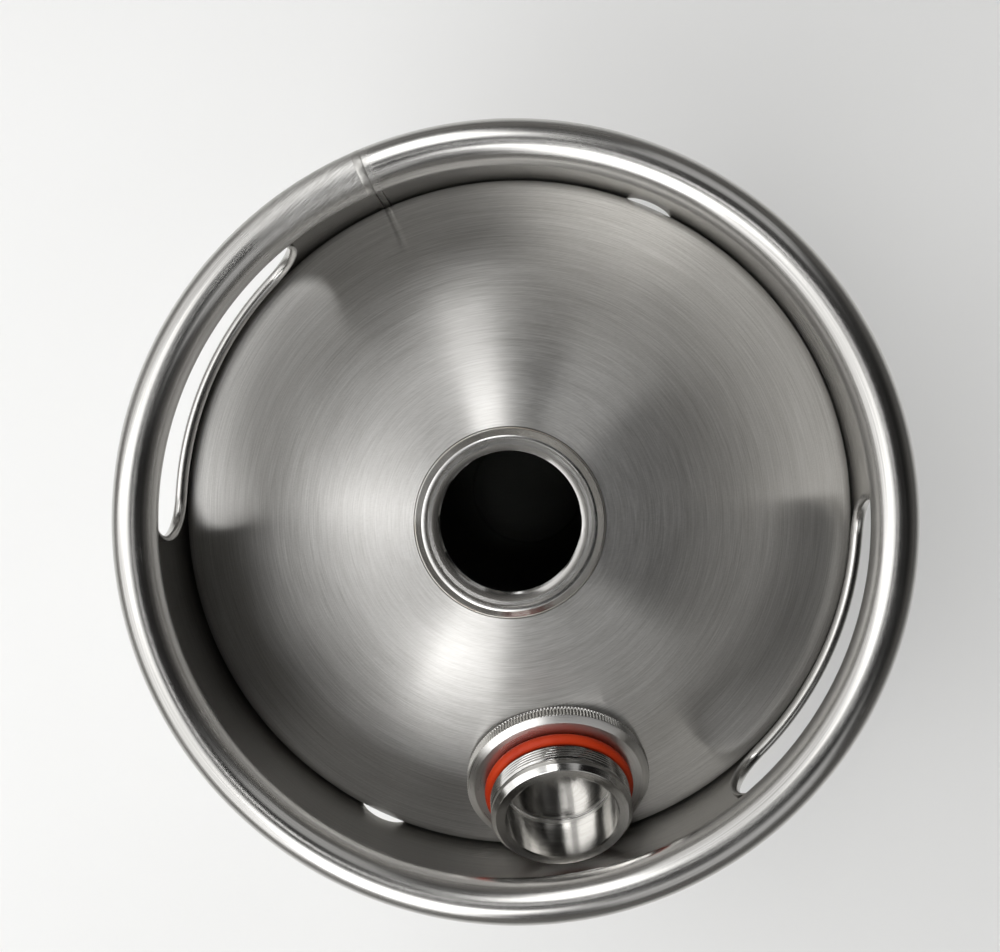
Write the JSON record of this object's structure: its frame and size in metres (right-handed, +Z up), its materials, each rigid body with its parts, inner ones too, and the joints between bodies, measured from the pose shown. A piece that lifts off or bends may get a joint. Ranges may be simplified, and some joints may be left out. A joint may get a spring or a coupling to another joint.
{
  "type": "beer keg",
  "caption": "Small slim stainless beer keg with rolled chimes, handholds, an open threaded neck and a loose knurled screw plug with its seal ring.",
  "frame": {"origin": "centre of the keg's round foot on the floor", "axes": "+Z up along the keg's axis, handholds on +X and -X, drain notches of the top skirt on +Y and -Y, loose plug on the shoulder at 56.5 degrees from +X towards -Y"},
  "size_m": [0.237, 0.237, 0.337],
  "materials": {
    "chime_steel": "satin rolled stainless strip",
    "shell_steel": "stainless sheet brushed in circles",
    "turned_steel": "bright turned stainless",
    "weld_steel": "ground weld",
    "red_silicone": "matt orange-red silicone"
  },
  "bodies": {
    "keg": {"top_chime": "chime_steel", "top_chime_seam_weld": "weld_steel", "top_chime_weld": "weld_steel", "upper_shell": "shell_steel", "lower_shell": "shell_steel", "girth_weld": "weld_steel", "neck_collar": "turned_steel", "neck_weld": "weld_steel", "bottom_chime": "chime_steel", "bottom_chime_seam_weld": "weld_steel", "bottom_chime_weld": "weld_steel"},
    "seal": {"plug_o_ring": "red_silicone"},
    "plug": {"plug_body": "turned_steel"}
  },
  "joints": [
    {"name": "plug_lift", "type": "slide", "parent": "keg", "child": "seal", "axis": [-0.3903, 0.5896, 0.7071], "range_m": [0, 0.12]},
    {"name": "plug_turn", "type": "hinge", "parent": "seal", "child": "plug", "pos_m": [0.0476, -0.07192, 0.29522], "axis": [0.2659, -0.4017, 0.8763], "continuous": true}
  ]
}
